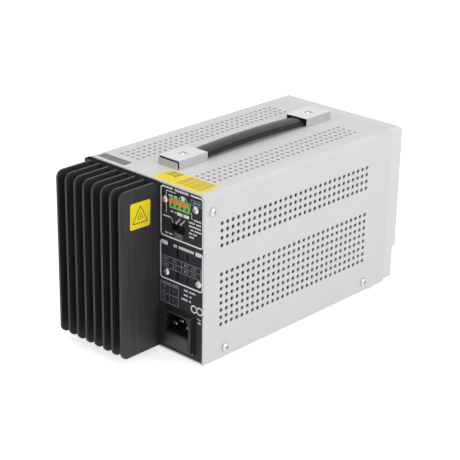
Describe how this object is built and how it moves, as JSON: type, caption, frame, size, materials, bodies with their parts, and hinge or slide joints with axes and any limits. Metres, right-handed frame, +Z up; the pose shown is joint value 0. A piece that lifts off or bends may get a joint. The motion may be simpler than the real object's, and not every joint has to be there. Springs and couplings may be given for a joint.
{
  "type": "bench power supply",
  "caption": "Linear bench power supply with vented steel case, finned rear heat sink, strap handle, knobs, terminal posts, fused inlet and terminal block.",
  "frame": {"origin": "on the standing surface, under the middle of the outline", "axes": "+Z up, the front panel faces -Y, the heat sink and inlet face +Y, +X to the right seen from the front"},
  "size_m": [0.1324, 0.295, 0.153],
  "materials": {
    "light_grey_paint": "satin, fine orange peel",
    "zinc_plate": "bright zinc",
    "black_paint": "semi-matt",
    "black_anodised": "black anodised",
    "nickel": "bright nickel",
    "satin_nickel": "satin",
    "black_plastic": "fine texture",
    "dark_plastic": "matt",
    "green_plastic": "satin",
    "orange_plastic": "satin",
    "warm_white_plastic": "fine texture",
    "window": "gloss",
    "board_green": "solder mask",
    "display_face": "gloss",
    "brass": "nickelled brass",
    "rubber": "matt",
    "strap_vinyl": "satin vinyl",
    "glass": "clear",
    "red_plastic": "satin",
    "core_steel": "varnished laminations",
    "coil_tape": "polyester tape",
    "sleeve_blue": "shrink sleeve"
  },
  "bodies": {
    "case": {"cover": "light_grey_paint", "chassis_tray": "zinc_plate", "rear_panel": "black_paint", "heat_sink": "black_anodised", "heat_sink_screws": "nickel", "power_transistors": "black_plastic", "cover_screws": "nickel", "rear_screws": "nickel", "feet": "rubber", "inlet_module": "black_plastic", "inlet_pins": "brass", "terminal_block": "green_plastic", "remote_switch_body": "dark_plastic", "selector_bodies": "dark_plastic", "handle_caps": "nickel", "handle_bases": "satin_nickel", "handle_screws": "nickel", "bezel": "warm_white_plastic", "front_panel": "zinc_plate", "display_window": "window", "display_board": "board_green", "digit_displays": "display_face", "control_pots": "satin_nickel", "post_studs": "brass", "post_collars": "black_plastic", "power_switch_body": "dark_plastic", "transformer_core": "core_steel", "transformer_coils": "coil_tape", "main_board": "board_green", "filter_capacitors": "sleeve_blue"},
    "knob_voltage_coarse": {"knob_voltage_coarse": "dark_plastic", "shaft_voltage_coarse": "satin_nickel"},
    "knob_voltage_fine": {"knob_voltage_fine": "dark_plastic", "shaft_voltage_fine": "satin_nickel"},
    "knob_current_fine": {"knob_current_fine": "dark_plastic", "shaft_current_fine": "satin_nickel"},
    "knob_current_coarse": {"knob_current_coarse": "dark_plastic", "shaft_current_coarse": "satin_nickel"},
    "washer_positive": {"post_washer_positive": "satin_nickel"},
    "cap_positive": {"post_cap_positive": "red_plastic"},
    "washer_ground": {"post_washer_ground": "satin_nickel"},
    "cap_ground": {"post_cap_ground": "green_plastic"},
    "washer_negative": {"post_washer_negative": "satin_nickel"},
    "cap_negative": {"post_cap_negative": "black_plastic"},
    "lever_1": {"lever_1": "orange_plastic"},
    "lever_2": {"lever_2": "orange_plastic"},
    "lever_3": {"lever_3": "orange_plastic"},
    "lever_4": {"lever_4": "orange_plastic"},
    "fuse_drawer": {"fuse_drawer": "dark_plastic", "fuses": "glass"},
    "remote_slider": {"remote_slider": "black_plastic"},
    "selector_upper": {"selector_slider_upper": "dark_plastic"},
    "selector_lower": {"selector_slider_lower": "dark_plastic"},
    "power_button": {"power_button": "dark_plastic"},
    "grip": {"strap_grip": "strap_vinyl", "strap_span_rear": "strap_vinyl", "strap_span_front": "strap_vinyl"},
    "strap_end_rear": {"strap_end_rear": "strap_vinyl"},
    "strap_end_front": {"strap_end_front": "strap_vinyl"}
  },
  "joints": [
    {"name": "voltage_coarse_turn", "type": "hinge", "parent": "case", "child": "knob_voltage_coarse", "pos_m": [-0.0425, -0.1325, 0.0665], "axis": [0, 1, 0], "range_deg": [-150, 150]},
    {"name": "voltage_fine_turn", "type": "hinge", "parent": "case", "child": "knob_voltage_fine", "pos_m": [-0.0142, -0.1325, 0.0665], "axis": [0, 1, 0], "range_deg": [-150, 150]},
    {"name": "current_fine_turn", "type": "hinge", "parent": "case", "child": "knob_current_fine", "pos_m": [0.0141, -0.1325, 0.0665], "axis": [0, 1, 0], "range_deg": [-150, 150]},
    {"name": "current_coarse_turn", "type": "hinge", "parent": "case", "child": "knob_current_coarse", "pos_m": [0.0424, -0.1325, 0.0665], "axis": [0, 1, 0], "range_deg": [-150, 150]},
    {"name": "positive_washer_slide", "type": "slide", "parent": "case", "child": "washer_positive", "axis": [0, -1, 0], "range_m": [0, 0.00245]},
    {"name": "positive_cap_turn", "type": "hinge", "parent": "washer_positive", "child": "cap_positive", "pos_m": [0, -0.1325, 0.0205], "axis": [0, -1, 0], "range_deg": [0, 1260.5]},
    {"name": "ground_washer_slide", "type": "slide", "parent": "case", "child": "washer_ground", "axis": [0, -1, 0], "range_m": [0, 0.00245]},
    {"name": "ground_cap_turn", "type": "hinge", "parent": "washer_ground", "child": "cap_ground", "pos_m": [0.01905, -0.1325, 0.0205], "axis": [0, -1, 0], "range_deg": [0, 1260.5]},
    {"name": "negative_washer_slide", "type": "slide", "parent": "case", "child": "washer_negative", "axis": [0, -1, 0], "range_m": [0, 0.00245]},
    {"name": "negative_cap_turn", "type": "hinge", "parent": "washer_negative", "child": "cap_negative", "pos_m": [0.0381, -0.1325, 0.0205], "axis": [0, -1, 0], "range_deg": [0, 1260.5]},
    {"name": "lever_1_press", "type": "slide", "parent": "case", "child": "lever_1", "axis": [0, -1, 0], "range_m": [0, 0.0015], "stiffness_N_per_m": 300},
    {"name": "lever_2_press", "type": "slide", "parent": "case", "child": "lever_2", "axis": [0, -1, 0], "range_m": [0, 0.0015], "stiffness_N_per_m": 300},
    {"name": "lever_3_press", "type": "slide", "parent": "case", "child": "lever_3", "axis": [0, -1, 0], "range_m": [0, 0.0015], "stiffness_N_per_m": 300},
    {"name": "lever_4_press", "type": "slide", "parent": "case", "child": "lever_4", "axis": [0, -1, 0], "range_m": [0, 0.0015], "stiffness_N_per_m": 300},
    {"name": "fuse_drawer_slide", "type": "slide", "parent": "case", "child": "fuse_drawer", "axis": [0, 1, 0], "range_m": [0, 0.014]},
    {"name": "remote_switch_slide", "type": "slide", "parent": "case", "child": "remote_slider", "axis": [1, 0, 0], "range_m": [0, 0.008]},
    {"name": "selector_upper_slide", "type": "slide", "parent": "case", "child": "selector_upper", "axis": [1, 0, 0], "range_m": [-0.0017, 0.0017]},
    {"name": "selector_lower_slide", "type": "slide", "parent": "case", "child": "selector_lower", "axis": [1, 0, 0], "range_m": [-0.0017, 0.0017]},
    {"name": "power_button_press", "type": "slide", "parent": "case", "child": "power_button", "axis": [0, 1, 0], "range_m": [0, 0.003], "stiffness_N_per_m": 300},
    {"name": "grip_lift", "type": "slide", "parent": "case", "child": "grip", "axis": [0, 0, 1], "range_m": [0, 0.02], "deforming": ["strap_span_rear", "strap_span_front"]},
    {"name": "strap_rear_slide", "type": "slide", "parent": "grip", "child": "strap_end_rear", "axis": [0, -0.3568, -0.9342], "range_m": [0, 0.02142]},
    {"name": "strap_front_slide", "type": "slide", "parent": "grip", "child": "strap_end_front", "axis": [0, 0.3568, -0.9342], "range_m": [0, 0.02142]}
  ],
  "couplings": [
    {"joint": "positive_cap_turn", "follows": "positive_washer_slide", "rad_per_m": 8976},
    {"joint": "ground_cap_turn", "follows": "ground_washer_slide", "rad_per_m": 8976},
    {"joint": "negative_cap_turn", "follows": "negative_washer_slide", "rad_per_m": 8976},
    {"joint": "strap_rear_slide", "follows": "grip_lift", "ratio": 1.0705},
    {"joint": "strap_front_slide", "follows": "grip_lift", "ratio": 1.0705}
  ]
}
